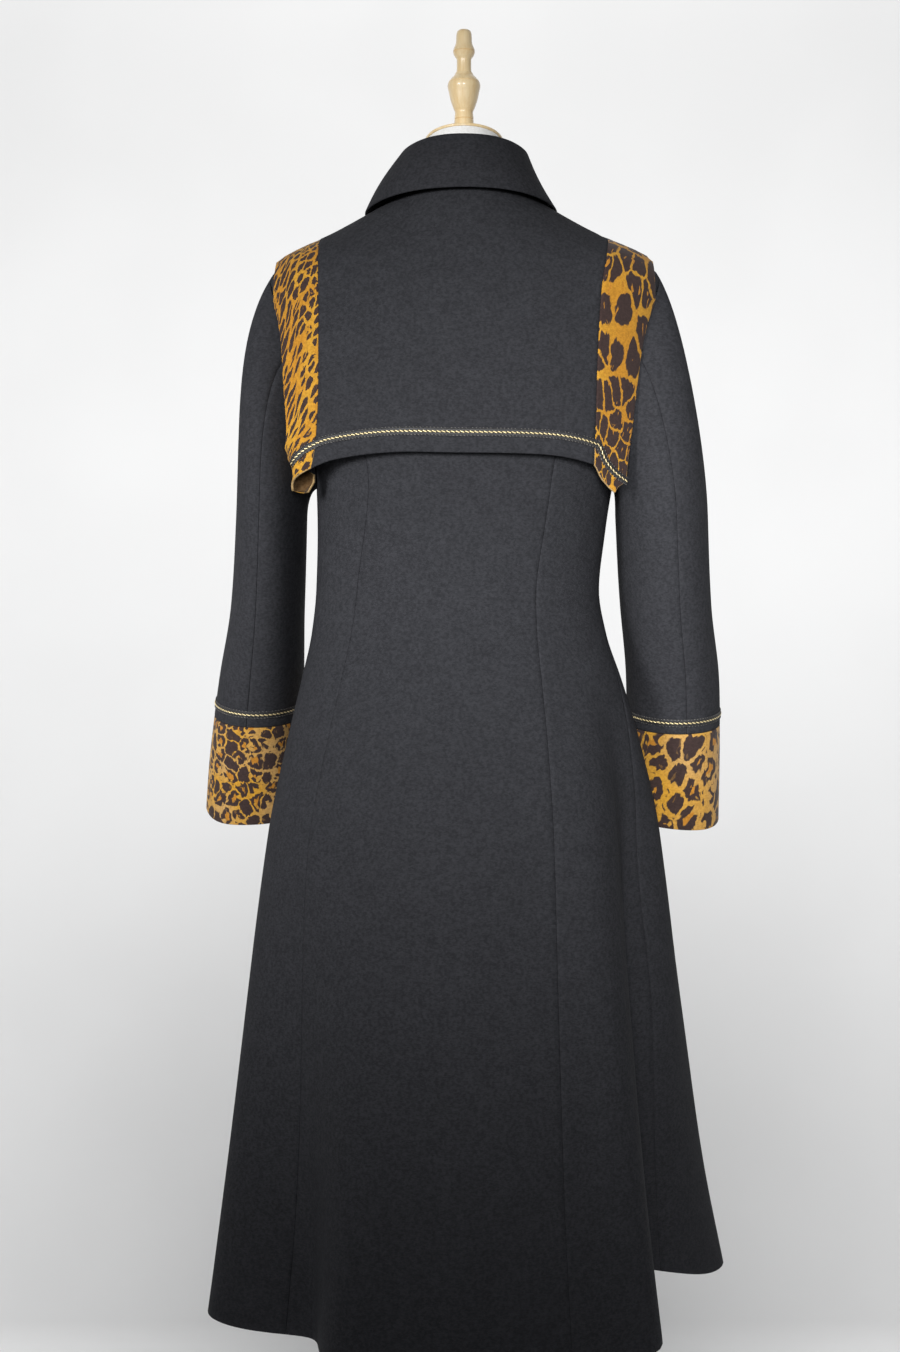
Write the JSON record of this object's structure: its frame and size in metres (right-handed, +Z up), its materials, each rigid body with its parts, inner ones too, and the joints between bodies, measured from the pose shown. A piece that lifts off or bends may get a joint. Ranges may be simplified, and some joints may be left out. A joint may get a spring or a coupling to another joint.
{
  "type": "wool coat on dress form",
  "caption": "Fitted wool coat with flared skirt, turn-down collar, back cape with print side bands, print cuffs and gold braid, standing on a limbless dress form.",
  "frame": {"origin": "middle of the dress form base's underside, on the floor", "axes": "+Z up, the coat's back faces -Y and its buttoned front +Y, +X is the wearer's right"},
  "size_m": [0.5527, 0.4697, 1.6165],
  "materials": {
    "wool": "heavy napped charcoal wool",
    "print": "leopard print on short pile",
    "braid": "twisted gold thread with black edges",
    "button": "polished black horn look",
    "jersey": "white jersey over a firm form",
    "wood": "pale turned wood, satin",
    "stand": "satin grey"
  },
  "bodies": {
    "root": {"back_centre": "wool", "back_side_left": "wool", "back_side_right": "wool", "front_left": "wool", "front_right": "wool", "sleeve_upper_left": "wool", "sleeve_upper_right": "wool", "sleeve_under_left": "wool", "sleeve_under_right": "wool", "cuff_left": "print", "cuff_right": "print", "braid_cuff_left": "braid", "braid_cuff_right": "braid", "collar_stand": "wool", "collar_fall": "wool", "cape_centre": "wool", "cape_band_left": "print", "cape_band_right": "print", "braid_cape": "braid", "pocket_flap_left": "print", "pocket_flap_right": "print", "braid_pocket_left": "braid", "braid_pocket_right": "braid", "button_1": "button", "button_2": "button", "button_3": "button", "button_4": "button", "form_torso": "jersey", "form_neck_plate": "wood", "form_finial": "wood", "form_pole": "stand", "form_base": "stand"}
  },
  "joints": []
}
